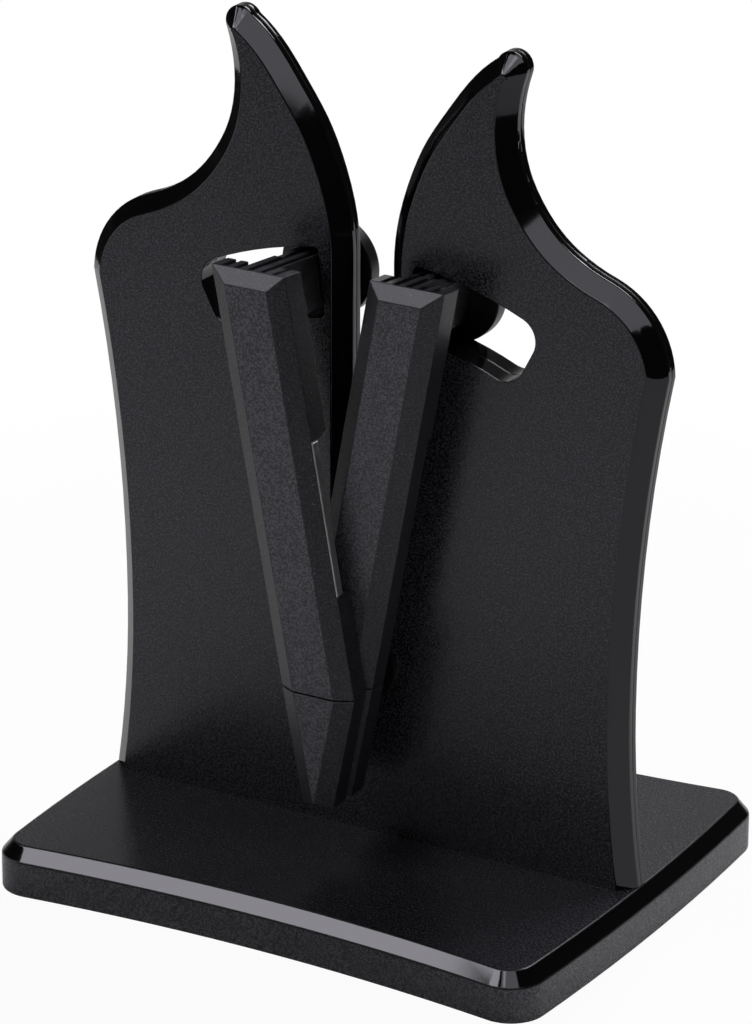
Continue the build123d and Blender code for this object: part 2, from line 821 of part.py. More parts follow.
right_pieces = {
    "right_arm": build_arm(right_face_y, right_bores, right_tongue_y, right_face_y + spring_pocket_depth),
    "right_tip": build_tip(right_face_y, right_bores, right_tongue_y),
    "right_bar": build_bar(right_face_y),
    "right_bar_holder": build_holder(right_face_y),
    "right_bush": build_bush(right_face_y - bush_proud, right_rear_y, False),
    "right_disc": build_disc(),
    "right_disc_screw": build_disc_screw(),
}
left_pieces = {
    "left_arm": build_arm(left_face_y, left_bores, left_tongue_y, left_rear_y),
    "left_tip": build_tip(left_face_y, left_bores, left_tongue_y),
    "left_bar": build_bar(left_face_y),
    "left_bar_holder": build_holder(left_face_y),
    "left_bush": build_bush(left_flange_y, left_rear_y + bush_proud, True),
    "left_disc": build_disc(),
    "left_disc_screw": build_disc_screw(),
}
for label, piece in right_pieces.items():
    save(piece, label)
for label, piece in left_pieces.items():
    save(mirror(piece, about=Plane.YZ), label)


# Spring round the axle: a leg up in the left arm, the coil, and a leg up in the right arm
spring_front_y = left_rear_y - spring_pocket_depth + spring_clearance + spring_wire_radius
spring_rear_y = right_face_y + spring_pocket_depth - spring_clearance - spring_wire_radius
spring_rise = spring_rear_y - spring_front_y
with BuildPart() as arm_spring:
    with BuildLine() as coil:
        turns = Helix(
            spring_rise / spring_turns,
            spring_rise,
            spring_mean_radius,
            center=(0, spring_front_y, pivot_z),
            direction=(0, 1, 0),
            lefthand=True,
            mode=Mode.PRIVATE,
        )
        add(turns.rotate(pivot_axis, -90))
    start = coil.edges()[0]
    with BuildSketch(Plane(origin=start @ 0, z_dir=start % 0)):
        Circle(spring_wire_radius)
    sweep(is_frenet=True)
    for side, y in ((-1, spring_front_y), (1, spring_rear_y)):
        with BuildSketch(Plane.XY.offset(pivot_z)):
            with Locations((side * spring_mean_radius, y)):
                Circle(spring_wire_radius)
        extrude(amount=spring_leg_length)
save(arm_spring.part, "arm_spring")
coil_gap = spring_rise / spring_turns - 2 * spring_wire_radius
print(f"least gap between the spring's turns: {coil_gap:.2f} mm")
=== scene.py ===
"""Looks of an upright knife sharpener: a horned panel on a bowed base, with two sprung arms.

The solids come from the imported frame. Moulded pieces get the small rounded edges of their mould,
fasteners get their driver recesses, and every piece gets its own finish.
"""

import json
import logging
import math
from dataclasses import dataclass, field
from enum import Enum
from typing import Any, Callable, Iterable, Union

import bmesh
import bpy
from mathutils import Matrix, Vector

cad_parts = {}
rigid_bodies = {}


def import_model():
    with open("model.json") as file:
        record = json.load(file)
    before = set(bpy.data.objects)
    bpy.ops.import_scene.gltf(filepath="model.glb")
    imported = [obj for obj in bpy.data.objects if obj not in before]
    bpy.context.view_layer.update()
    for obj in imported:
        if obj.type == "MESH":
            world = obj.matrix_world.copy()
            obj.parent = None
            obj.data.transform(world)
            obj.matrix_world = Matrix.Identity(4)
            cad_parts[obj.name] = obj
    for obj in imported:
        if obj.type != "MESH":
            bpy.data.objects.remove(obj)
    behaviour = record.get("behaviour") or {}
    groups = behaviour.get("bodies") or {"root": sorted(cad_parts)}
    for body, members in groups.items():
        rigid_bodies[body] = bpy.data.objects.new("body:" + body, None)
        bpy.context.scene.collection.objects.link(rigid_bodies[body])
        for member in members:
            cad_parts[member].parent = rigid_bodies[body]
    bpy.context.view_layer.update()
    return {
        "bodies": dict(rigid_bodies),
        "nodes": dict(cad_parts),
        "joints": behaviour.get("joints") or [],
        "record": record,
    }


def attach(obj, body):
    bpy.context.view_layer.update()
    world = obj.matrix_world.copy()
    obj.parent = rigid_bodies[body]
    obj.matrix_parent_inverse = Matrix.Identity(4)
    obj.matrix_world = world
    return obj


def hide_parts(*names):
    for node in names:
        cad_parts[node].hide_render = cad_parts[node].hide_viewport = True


LOG = logging.getLogger("sharpener")
MM = 0.001

Triple = tuple[float, float, float]
Colour = Triple
Span = tuple[float, float]

MIDDLE = 0.5
WHITE: Colour = (1.0, 1.0, 1.0)
BLACK_IOR = 1.53
BLACK_SHEEN: Colour = (0.93, 0.905, 1.0)


# Shader expressions


class Link:
    """A value in a node tree that takes part in arithmetic."""

    def __init__(self, shader: "Shader", socket: bpy.types.NodeSocket) -> None:
        """Wrap a socket.

        Args:
            shader: the tree that the value lives in.
            socket: the output that carries it.
        """
        self.shader = shader
        self.socket = socket

    def _math(self, operation: str, *values: "Operand") -> "Link":
        """Add a Math node.

        Args:
            operation: the node's operation.
            values: its inputs in order.

        Returns:
            The node's result.
        """
        inputs = dict(enumerate(values))
        return self.shader.node("ShaderNodeMath", {"operation": operation}, inputs)

    def __add__(self, other: "Operand") -> "Link":
        """Return the sum."""
        return self._math("ADD", self, other)

    def __radd__(self, other: "Operand") -> "Link":
        """Return the sum."""
        return self._math("ADD", other, self)

    def __sub__(self, other: "Operand") -> "Link":
        """Return the difference."""
        return self._math("SUBTRACT", self, other)

    def __rsub__(self, other: "Operand") -> "Link":
        """Return the difference from the left value."""
        return self._math("SUBTRACT", other, self)

    def __mul__(self, other: "Operand") -> "Link":
        """Return the product."""
        return self._math("MULTIPLY", self, other)

    def __rmul__(self, other: "Operand") -> "Link":
        """Return the product."""
        return self._math("MULTIPLY", other, self)

    def step(self, start: float, end: float) -> "Link":
        """Rise smoothly from 0 to 1.

        Args:
            start: the value that gives 0.
            end: the value that gives 1.

        Returns:
            The smooth step.
        """
        settings = {"interpolation_type": "SMOOTHSTEP"}
        inputs = {"Value": self, "From Min": start, "From Max": end}
        return self.shader.node("ShaderNodeMapRange", settings, inputs)


Operand = Union[Link, float]


@dataclass(frozen=True)
class Noise:
    """Soft noise: its waves in a metre, its octaves and the weight of the finer octaves."""

    per_metre: float
    detail: float = 2.0
    rough: float = 0.5


class Shader:
    """A material's or world's node tree, written as expressions."""

    def __init__(self, owner: Any) -> None:
        """Clear the tree of a material, light or world.

        Args:
            owner: the data-block that has the tree.
        """
        owner.use_nodes = True
        self.tree = owner.node_tree
        self.tree.nodes.clear()

    def node(
        self,
        kind: str,
        settings: dict[str, Any] | None = None,
        inputs: dict[Any, Any] | None = None,
        output: Any = 0,
    ) -> Link:
        """Add a node.

        Args:
            kind: the node's type.
            settings: its own settings, which are set first.
            inputs: a value or link for each socket, by name or number.
            output: the name or number of the output that is wanted.

        Returns:
            That output.
        """
        made = self.tree.nodes.new(kind)
        for name, value in (settings or {}).items():
            setattr(made, name, value)
        for name, value in (inputs or {}).items():
            socket = made.inputs[name]
            if isinstance(value, Link):
                self.tree.links.new(value.socket, socket)
            elif isinstance(value, tuple) and socket.type == "RGBA":
                socket.default_value = (*value, 1.0)
            else:
                socket.default_value = value
        return Link(self, made.outputs[output])

    def place(self) -> Link:
        """Return the point on the object, in metres."""
        return self.node("ShaderNodeTexCoord", output="Object")

    def scaled(self, point: Link, scale: Triple) -> Link:
        """Stretch a point.

        Args:
            point: the point.
            scale: the factor of each axis.

        Returns:
            The stretched point.
        """
        settings = {"operation": "MULTIPLY"}
        return self.node("ShaderNodeVectorMath", settings, {0: point, 1: scale})

    def noise(self, point: Link, kind: Noise) -> Link:
        """Return soft noise from 0 to 1.

        Args:
            point: where it is read.
            kind: its fineness.

        Returns:
            The noise value.
        """
        inputs = {
            "Vector": point,
            "Scale": kind.per_metre,
            "Detail": kind.detail,
            "Roughness": kind.rough,
        }
        return self.node("ShaderNodeTexNoise", None, inputs)

    def cells(self, point: Link, per_metre: float) -> Link:
        """Return the distance to the nearest of many scattered points.

        Args:
            point: where it is read.
            per_metre: the cells in a metre.

        Returns:
            The distance, in cells.
        """
        return self.node("ShaderNodeTexVoronoi", None, {"Vector": point, "Scale": per_metre})

    def blend(self, factor: Link, low: Any, high: Any) -> Link:
        """Mix two colours.

        Args:
            factor: 0 gives the first and 1 the second.
            low: the first colour.
            high: the second colour.

        Returns:
            The mixed colour.
        """
        settings = {"data_type": "RGBA"}
        return self.node("ShaderNodeMix", settings, {0: factor, 6: low, 7: high}, 2)

    def bump(self, height: Link, depth: float) -> Link:
        """Turn a height into a normal.

        Args:
            height: the height, in units of the depth.
            depth: metres for one unit.

        Returns:
            The normal.
        """
        inputs = {"Height": height, "Distance": depth}
        return self.node("ShaderNodeBump", None, inputs, "Normal")

    def surface(self, inputs: dict[Any, Any]) -> Link:
        """Return a principled surface with these sockets."""
        return self.node("ShaderNodeBsdfPrincipled", None, inputs)

    def end(self, kind: str, shader: Link) -> None:
        """Join a shader to the tree's output.

        Args:
            kind: the output node's type.
            shader: what it shows.
        """
        made = self.tree.nodes.new(kind)
        self.tree.links.new(shader.socket, made.inputs["Surface"])


# Finishes


@dataclass(frozen=True)
class Finish:
    """What all finishes share: a name and a way to be made into a material."""

    name: str

    def dress(self, shader: Shader) -> Link:
        """Return the shader of the finish.

        Args:
            shader: the tree to write in.

        Returns:
            The surface.
        """
        raise NotImplementedError

    @staticmethod
    def swung(level: float, *swings: tuple[Link, float]) -> Link:
        """Let noises push a level up and down.

        Args:
            level: the level without them.
            swings: a noise from 0 to 1 and its full swing, for each.

        Returns:
            The pushed level.
        """
        pushed: Any = level
        for noise, swing in swings:
            pushed = pushed + (noise - MIDDLE) * swing
        return pushed

    def material(self) -> bpy.types.Material:
        """Return the material, made once.

        Returns:
            The material with this finish's name.
        """
        found = bpy.data.materials.get(self.name)
        if found is not None:
            return found
        made = bpy.data.materials.new(self.name)
        shader = Shader(made)
        shader.end("ShaderNodeOutputMaterial", self.dress(shader))
        return made


@dataclass(frozen=True)
class GrainedPlastic(Finish):
    """Black plastic from an etched mould: a fine dry grain with small sparkles."""

    colour: Colour = (0.0, 0.0, 0.0)
    crest: Colour = (0.047, 0.045, 0.056)
    crest_rise: Span = (0.40, 0.62)
    sparkle: Colour = (0.32, 0.31, 0.36)
    sparkle_rise: Span = (0.68, 0.80)
    sparkle_share: float = 0.75
    sparkle_density: float = 1.45
    roughness: float = 0.27
    grain: Noise = Noise(2150.0, 3.0, 0.62)
    grain_depth: float = 0.022 * MM
    grain_height: float = 0.75
    grain_swing: float = 0.24
    pit_height: float = 0.35
    pit_density: float = 0.62
    cloud: Noise = Noise(46.0, 3.0, 0.55)
    cloud_swing: float = 0.06

    def dress(self, shader: Shader) -> Link:
        """Return the grained surface, as Finish.dress says."""
        point = shader.place()
        grain = shader.noise(point, self.grain)
        pits = shader.cells(point, self.grain.per_metre * self.pit_density)
        cloud = shader.noise(point, self.cloud)
        fleck = Noise(self.grain.per_metre * self.sparkle_density, 1.0)
        sparkles = shader.noise(point, fleck).step(*self.sparkle_rise)
        colour = shader.blend(grain.step(*self.crest_rise), self.colour, self.crest)
        colour = shader.blend(sparkles * self.sparkle_share, colour, self.sparkle)
        swings = (grain, self.grain_swing), (cloud, self.cloud_swing)
        height = grain * self.grain_height + pits * self.pit_height
        return shader.surface(
            {
                "Base Color": colour,
                "Roughness": self.swung(self.roughness, *swings),
                "IOR": BLACK_IOR,
                "Specular Tint": BLACK_SHEEN,
                "Normal": shader.bump(height, self.grain_depth),
            }
        )


@dataclass(frozen=True)
class PolishedPlastic(Finish):
    """The same black plastic from a polished part of the mould."""

    colour: Colour = (0.0022, 0.0022, 0.0024)
    dust_colour: Colour = (0.016, 0.016, 0.017)
    roughness: float = 0.075
    wave: Noise = Noise(60.0)
    wave_swing: float = 0.03
    fine: Noise = Noise(1500.0)
    fine_swing: float = 0.04
    fine_depth: float = 0.0006 * MM
    dust: Noise = Noise(5200.0, 1.0)
    dust_rise: Span = (0.70, 0.80)
    dust_dulling: float = 0.10

    def dress(self, shader: Shader) -> Link:
        """Return the glossy surface, as Finish.dress says."""
        point = shader.place()
        wave = shader.noise(point, self.wave)
        fine = shader.noise(point, self.fine)
        dust = shader.noise(point, self.dust).step(*self.dust_rise)
        swings = (wave, self.wave_swing), (fine, self.fine_swing)
        rough = self.swung(self.roughness, *swings) + dust * self.dust_dulling
        return shader.surface(
            {
                "Base Color": shader.blend(dust, self.colour, self.dust_colour),
                "Roughness": rough,
                "IOR": BLACK_IOR,
                "Specular Tint": BLACK_SHEEN,
                "Normal": shader.bump(fine, self.fine_depth),
            }
        )


@dataclass(frozen=True)
class SatinPlastic(Finish):
    """Black plastic with a soft satin skin, between grained and polished."""

    colour: Colour = (0.005, 0.005, 0.0054)
    fleck_colour: Colour = (0.02, 0.02, 0.022)
    roughness: float = 0.30
    fine: Noise = Noise(2600.0)
    fine_swing: float = 0.16
    fine_depth: float = 0.02 * MM
    cloud: Noise = Noise(90.0)
    cloud_swing: float = 0.08
    fleck: Noise = Noise(4200.0, 1.0)
    fleck_rise: Span = (0.64, 0.78)
    fleck_share: float = 0.6

    def dress(self, shader: Shader) -> Link:
        """Return the satin surface, as Finish.dress says."""
        point = shader.place()
        fine = shader.noise(point, self.fine)
        cloud = shader.noise(point, self.cloud)
        fleck = shader.noise(point, self.fleck).step(*self.fleck_rise)
        swings = (fine, self.fine_swing), (cloud, self.cloud_swing)
        return shader.surface(
            {
                "Base Color": shader.blend(
                    fleck * self.fleck_share, self.colour, self.fleck_colour
                ),
                "Roughness": self.swung(self.roughness, *swings),
                "IOR": BLACK_IOR,
                "Specular Tint": BLACK_SHEEN,
                "Normal": shader.bump(fine, self.fine_depth),
            }
        )


@dataclass(frozen=True)
class GroundSteel(Finish):
    """Bright steel with the fine lines of a grinding wheel across it."""

    colour: Colour = (0.72, 0.72, 0.71)
    shade: float = 0.78
    roughness: float = 0.38
    across: Triple = (300.0, 300.0, 5200.0)
    line: Noise = Noise(1.0, 4.0, 0.7)
    line_swing: float = 0.22
    line_depth: float = 0.012 * MM
    patch: Noise = Noise(240.0, 3.0, 0.6)
    worn_rise: Span = (0.50, 0.72)
    worn_share: float = 0.35
    worn_colour: Colour = (0.36, 0.35, 0.34)
    worn_dulling: float = 0.08

    def dress(self, shader: Shader) -> Link:
        """Return the ground surface, as Finish.dress says."""
        point = shader.place()
        lines = shader.noise(shader.scaled(point, self.across), self.line)
        worn = shader.noise(point, self.patch).step(*self.worn_rise)
        shaded = tuple(channel * self.shade for channel in self.colour)
        colour = shader.blend(lines, shaded, self.colour)
        colour = shader.blend(worn * self.worn_share, colour, self.worn_colour)
        rough = self.swung(self.roughness, (lines, self.line_swing))
        return shader.surface(
            {
                "Base Color": colour,
                "Metallic": 1.0,
                "Roughness": rough + worn * self.worn_dulling,
                "Normal": shader.bump(lines, self.line_depth),
            }
        )


@dataclass(frozen=True)
class PlatedSteel(Finish):
    """Zinc-plated or blued steel of screws, pin, ring and spring."""

    colour: Colour = (0.48, 0.49, 0.50)
    stain: Colour = (0.26, 0.27, 0.29)
    stain_rise: Span = (0.42, 0.66)
    roughness: float = 0.30
    cloud: Noise = Noise(900.0, 3.0, 0.6)
    cloud_swing: float = 0.25
    fine: Noise = Noise(6000.0)
    fine_swing: float = 0.12
    fine_depth: float = 0.008 * MM

    def dress(self, shader: Shader) -> Link:
        """Return the plated surface, as Finish.dress says."""
        point = shader.place()
        cloud = shader.noise(point, self.cloud)
        fine = shader.noise(point, self.fine)
        swings = (cloud, self.cloud_swing), (fine, self.fine_swing)
        return shader.surface(
            {
                "Base Color": shader.blend(cloud.step(*self.stain_rise), self.colour, self.stain),
                "Metallic": 1.0,
                "Roughness": self.swung(self.roughness, *swings),
                "Normal": shader.bump(fine, self.fine_depth),
            }
        )


@dataclass(frozen=True)
class Rubber(Finish):
    """Dull dark rubber with a little dust in its skin."""

    colour: Colour = (0.022, 0.022, 0.022)
    dust_colour: Colour = (0.07, 0.068, 0.064)
    roughness: float = 0.78
    skin: Noise = Noise(2100.0, 3.0, 0.6)
    skin_swing: float = 0.2
    skin_depth: float = 0.05 * MM
    dust: Noise = Noise(160.0, 4.0, 0.6)
    dust_rise: Span = (0.46, 0.72)
    dust_share: float = 0.6

    def dress(self, shader: Shader) -> Link:
        """Return the rubber surface, as Finish.dress says."""
        point = shader.place()
        skin = shader.noise(point, self.skin)
        dust = shader.noise(point, self.dust).step(*self.dust_rise)
        return shader.surface(
            {
                "Base Color": shader.blend(dust * self.dust_share, self.colour, self.dust_colour),
                "Roughness": self.swung(self.roughness, (skin, self.skin_swing)),
                "Normal": shader.bump(skin, self.skin_depth),
            }
        )


@dataclass(frozen=True)
class BearingPlastic(Finish):
    """Milky slippery plastic of the bushes."""

    colour: Colour = (0.62, 0.60, 0.54)
    cloud_colour: Colour = (0.52, 0.49, 0.42)
    roughness: float = 0.36
    cloud: Noise = Noise(420.0, 3.0, 0.6)
    around: Triple = (400.0, 6000.0, 400.0)
    turned: Noise = Noise(1.0)
    turned_swing: float = 0.2
    turned_depth: float = 0.01 * MM
    milk_share: float = 0.15
    milk_depth: float = 2.0 * MM

    def dress(self, shader: Shader) -> Link:
        """Return the bearing plastic's surface, as Finish.dress says."""
        point = shader.place()
        cloud = shader.noise(point, self.cloud)
        turned = shader.noise(shader.scaled(point, self.around), self.turned)
        return shader.surface(
            {
                "Base Color": shader.blend(cloud, self.colour, self.cloud_colour),
                "Roughness": self.swung(self.roughness, (turned, self.turned_swing)),
                "Subsurface Weight": self.milk_share,
                "Subsurface Scale": self.milk_depth,
                "Normal": shader.bump(turned, self.turned_depth),
            }
        )


PANEL_GRAIN = GrainedPlastic("panel_grain")
BASE_GRAIN = GrainedPlastic("base_grain", roughness=0.25)
# A lighter copy of the panel's grained plastic for the arms: painted light that brightens their
# faces and tops, also where the horns shade the tops.
ARM_GRAIN_PAINTED_LIGHT = GrainedPlastic(
    "arm_grain_painted_light",
    colour=(0.020, 0.019, 0.023),
    crest=(0.105, 0.102, 0.120),
    sparkle=(0.36, 0.35, 0.40),
    roughness=0.34,
)
# A lighter copy of the base's grained plastic for its sides: painted light that stands in for the
# bright floor they reflect.
BASE_SIDE_PAINTED_LIGHT = GrainedPlastic(
    "base_side_painted_light",
    colour=(0.018, 0.017, 0.020),
    crest=(0.105, 0.103, 0.116),
    sparkle=(0.36, 0.355, 0.39),
)
GLOSS_BEVEL = PolishedPlastic("gloss_bevel")
SATIN_EDGE = SatinPlastic("satin_edge")
ARM_BEVEL = GrainedPlastic("arm_bevel", crest=(0.030, 0.029, 0.033), roughness=0.42)
DISC_PLASTIC = SatinPlastic("disc_plastic", roughness=0.34)
HOLDER_PLASTIC = SatinPlastic("holder_plastic", roughness=0.36)
SPACER_PLASTIC = SatinPlastic("spacer_plastic", roughness=0.33)
BAR_STEEL = GroundSteel("bar_steel")
SCREW_STEEL = PlatedSteel("screw_steel")
SPRING_STEEL = PlatedSteel(
    "spring_steel", colour=(0.30, 0.29, 0.28), stain=(0.14, 0.13, 0.13), roughness=0.34
)
FOOT_RUBBER = Rubber("foot_rubber")
BUSH_PLASTIC = BearingPlastic("bush_plastic")


# Meshes


class Zone(Enum):
    """Where a face of a moulded piece lies, which is also its material's number."""

    FACE = 0
    BEVEL = 1
    EDGE = 2
    SIDE = 3


FaceRule = Callable[[Vector], Zone]


@dataclass(frozen=True)
class CrossRecess:
    """The cross recess that a driver fits into, in every screw head of a node."""

    outward: Triple
    flat_share: float = 0.999
    reach_share: float = 0.62
    wing_share: float = 0.15
    depth_share: float = 0.42
    taper: float = 0.55
    level_slack: float = 0.03 * MM
    wings: int = 4

    def cut(self, shape: bmesh.types.BMesh) -> None:
        """Open a recess in each head's flat top.

        Args:
            shape: the screws' mesh.
        """
        axis = Vector(self.outward)
        tops = [face for face in shape.faces if face.normal.dot(axis) > self.flat_share]
        level = max(face.calc_center_median().dot(axis) for face in tops)
        for top in tops:
            if level - top.calc_center_median().dot(axis) < self.level_slack:
                self._cut_one(shape, top, axis)
        bmesh.ops.recalc_face_normals(shape, faces=shape.faces)

    def _cut_one(self, shape: bmesh.types.BMesh, top: bmesh.types.BMFace, axis: Vector) -> None:
        """Open one recess.

        Args:
            shape: the screws' mesh.
            top: the head's flat top.
            axis: the way that the head faces.
        """
        centre = top.calc_center_median()
        radius = min((vert.co - centre).length for vert in top.verts)
        along = axis.orthogonal().normalized()
        across = axis.cross(along)
        reach, wing = radius * self.reach_share, radius * self.wing_share
        outline: list[Vector] = []
        for number in range(self.wings):
            turn = Matrix.Rotation(math.tau * number / self.wings, 2)
            for corner in ((reach, -wing), (reach, wing), (wing, wing)):
                outline.append(turn @ Vector(corner))
        edges = list(top.edges)
        bmesh.ops.delete(shape, geom=[top], context="FACES_ONLY")
        mouth = [shape.verts.new(centre + along * p.x + across * p.y) for p in outline]
        sunk = centre - axis * radius * self.depth_share
        floor = [
            shape.verts.new(sunk + (along * p.x + across * p.y) * self.taper) for p in outline
        ]
        count = len(outline)
        for index in range(count):
            after = (index + 1) % count
            edges.append(shape.edges.new((mouth[index], mouth[after])))
            shape.faces.new((mouth[index], mouth[after], floor[after], floor[index]))
        shape.faces.new(floor)
        bmesh.ops.triangle_fill(shape, use_beauty=True, edges=edges, normal=axis)


@dataclass(frozen=True)
class Moulding:
    """A moulded or headed piece: the frame's solid with its small rounded edges.

    Edges above the sharp angle are rounded. Points closer than the weld are joined, and facets
    within the flat angle of each other become one face. Shading by area keeps large faces
    even where small ones end on them.
    """

    node: str
    body: str
    slot: str
    finishes: tuple[Finish, ...]
    rule: FaceRule
    edge_radius: float
    steps: int = 2
    sharp_angle: float = 24.0
    weld: float = 0.004 * MM
    flat_angle: float = 0.35
    recess: CrossRecess | None = None
    by_area: bool = False
    area_weight: int = 50

    def build(self, frame: dict[str, Any]) -> None:
        """Make the piece and let it stand for its node.
        """
        name = f"{self.node}_moulded"
        mesh = bpy.data.meshes.new(name)
        self._fill(mesh, frame["nodes"][self.node].data)
        for finish in self.finishes:
            mesh.materials.append(finish.material())
        piece = bpy.data.objects.new(name, mesh)
        bpy.context.scene.collection.objects.link(piece)
        self._round_edges(piece)
        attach(piece, self.body)
        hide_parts(self.node)
        LOG.info("%s: %d faces", piece.name, len(mesh.polygons))

    def _fill(self, mesh: bpy.types.Mesh, source: bpy.types.Mesh) -> None:
        """Write the node's shape into a mesh, with its zones and its sharp edges.

        Args:
            mesh: the mesh to write.
            source: the node's mesh.
        """
        shape = bmesh.new()
        shape.from_mesh(source)
        bmesh.ops.remove_doubles(shape, verts=shape.verts, dist=self.weld)
        bmesh.ops.recalc_face_normals(shape, faces=shape.faces)
        bmesh.ops.dissolve_limit(
            shape,
            angle_limit=math.radians(self.flat_angle),
            use_dissolve_boundaries=False,
            verts=shape.verts,
            edges=shape.edges,
        )
        if self.recess is not None:
            self.recess.cut(shape)
        for face in shape.faces:
            face.smooth = True
            face.material_index = self.rule(face.normal).value
        for edge in shape.edges:
            edge.smooth = edge.calc_face_angle(math.pi) < math.radians(self.sharp_angle)
        shape.to_mesh(mesh)
        shape.free()

    def _round_edges(self, piece: bpy.types.Object) -> None:
        """Round the sharp edges a little.

        Args:
            piece: the object that gets the modifiers.
        """
        edges = piece.modifiers.new("mould_edges", "BEVEL")
        edges.width = self.edge_radius
        edges.segments = self.steps
        edges.limit_method = "ANGLE"
        edges.angle_limit = math.radians(self.sharp_angle)
        edges.use_clamp_overlap = False
        edges.harden_normals = not self.by_area
        edges.material = Zone.EDGE.value
        if self.by_area:
            shading = piece.modifiers.new("large_faces_first", "WEIGHTED_NORMAL")
            shading.mode = "FACE_AREA"
            shading.weight = self.area_weight
            shading.keep_sharp = False


FRONT_SHARE = 0.97
ARM_TOP_SHARE = 0.8
BASE_BEVEL_SHARES: Span = (0.3, 0.95)
BASE_TOP_SHARE = 0.5


def panel_faces(normal: Vector) -> Zone:
    """Sort the panel: flat front and back, and the rest.

    Args:
        normal: the face's normal.

    Returns:
        The face's zone.
    """
    return Zone.FACE if abs(normal.y) > FRONT_SHARE else Zone.BEVEL


def base_faces(normal: Vector) -> Zone:
    """Sort the base: grained top, polished bevel and grained sides, which carry painted light.

    Args:
        normal: the face's normal.

    Returns:
        The face's zone.
    """
    steep, level = BASE_BEVEL_SHARES
    if steep < normal.z < level:
        return Zone.BEVEL
    return Zone.FACE if abs(normal.z) > BASE_TOP_SHARE else Zone.SIDE


def arm_faces(normal: Vector) -> Zone:
    """Sort an arm: grained front and top, which carry painted light, and satin bevels and sides.

    Args:
        normal: the face's normal.

    Returns:
        The face's zone.
    """
    grained = normal.y < -FRONT_SHARE or normal.z > ARM_TOP_SHARE
    return Zone.FACE if grained else Zone.BEVEL


def all_faces(normal: Vector) -> Zone:
    """Return one zone for the whole piece."""
    return Zone.FACE


# Sub-assemblies


@dataclass
class Stand:
    """The base, the panel and what holds them."""

    frame: dict[str, Any]
    body: str = "stand"
    base_edge: float = 0.3 * MM
    cover_edge: float = 0.2 * MM
    panel_edge: float = 0.2 * MM
    panel_sharp_angle: float = 38.0
    panel_weld: float = 0.08 * MM
    screw_edge: float = 0.12 * MM
    screw_heads: dict[str, Triple] = field(
        default_factory=lambda: {
            "cover_screws": (0.0, 0.0, -1.0),
            "mounting_screws": (0.0, 0.0, -1.0),
            "panel_screws": (0.0, 1.0, 0.0),
        }
    )
    plain_finishes: dict[str, Finish] = field(
        default_factory=lambda: {
            "foot_front_left": FOOT_RUBBER,
            "foot_front_right": FOOT_RUBBER,
            "foot_rear_left": FOOT_RUBBER,
            "foot_rear_right": FOOT_RUBBER,
            "pivot_spacer": SPACER_PLASTIC,
            "pivot_pin": SCREW_STEEL,
            "retaining_ring": SPRING_STEEL,
            "arm_spring": SPRING_STEEL,
        }
    )

    def build(self) -> None:
        """Make the moulded pieces and dress the rest."""
        base = (BASE_GRAIN, GLOSS_BEVEL, SATIN_EDGE, BASE_SIDE_PAINTED_LIGHT)
        panel = (PANEL_GRAIN, GLOSS_BEVEL, GLOSS_BEVEL)
        cover = (SATIN_EDGE,) * 3
        steel = (SCREW_STEEL,) * 3
        pieces = [
            Moulding("base_shell", self.body, "base", base, base_faces, self.base_edge),
            Moulding("base_cover", self.body, "base", cover, all_faces, self.cover_edge),
        ]
        for name in ("panel_front", "panel_rear"):
            pieces.append(
                Moulding(
                    name,
                    self.body,
                    "panel",
                    panel,
                    panel_faces,
                    self.panel_edge,
                    sharp_angle=self.panel_sharp_angle,
                    weld=self.panel_weld,
                    by_area=True,
                )
            )
        for name, outward in self.screw_heads.items():
            recess = CrossRecess(outward)
            pieces.append(
                Moulding(
                    name, self.body, "steel", steel, all_faces, self.screw_edge, recess=recess
                )
            )
        for piece in pieces:
            piece.build(self.frame)
        dress_nodes(self.frame, self.plain_finishes)


@dataclass
class Arm:
    """One sprung arm with its tip, bar, guide disc and bearing."""

    frame: dict[str, Any]
    side: str
    arm_edge: float = 0.18 * MM
    holder_edge: float = 0.12 * MM
    disc_edge: float = 0.25 * MM
    screw_edge: float = 0.1 * MM
    screw_head: Triple = (0.0, 1.0, 0.0)

    def build(self) -> None:
        """Make the moulded pieces and dress the rest."""
        body = f"{self.side}_arm"
        arm = (ARM_GRAIN_PAINTED_LIGHT, ARM_BEVEL, ARM_BEVEL)
        disc = (DISC_PLASTIC,) * 3
        holder = (HOLDER_PLASTIC,) * 3
        steel = (SCREW_STEEL,) * 3
        recess = CrossRecess(self.screw_head)
        for name, slot, finishes, rule, radius, opening in (
            ("arm", "arms", arm, arm_faces, self.arm_edge, None),
            ("tip", "arms", arm, arm_faces, self.arm_edge, None),
            ("bar_holder", "bar_holders", holder, all_faces, self.holder_edge, None),
            ("disc", "discs", disc, all_faces, self.disc_edge, None),
            ("disc_screw", "steel", steel, all_faces, self.screw_edge, recess),
        ):
            node = f"{self.side}_{name}"
            Moulding(node, body, slot, finishes, rule, radius, recess=opening).build(self.frame)
        finishes = {f"{self.side}_bar": BAR_STEEL, f"{self.side}_bush": BUSH_PLASTIC}
        dress_nodes(self.frame, finishes)


def dress_nodes(frame: dict[str, Any], finishes: dict[str, Finish]) -> None:
    """Give CAD nodes their materials.

    Args:
        finishes: a finish for each node.
    """
    for name, finish in finishes.items():
        mesh = frame["nodes"][name].data
        mesh.materials.clear()
        mesh.materials.append(finish.material())
        LOG.info("%s: %s", name, finish.name)


# Studio


class Shine(Enum):
    """The skins that a lamp shines on."""

    ALL = "all"
    GLOSSY = "glossy"
    MATT = "matt"


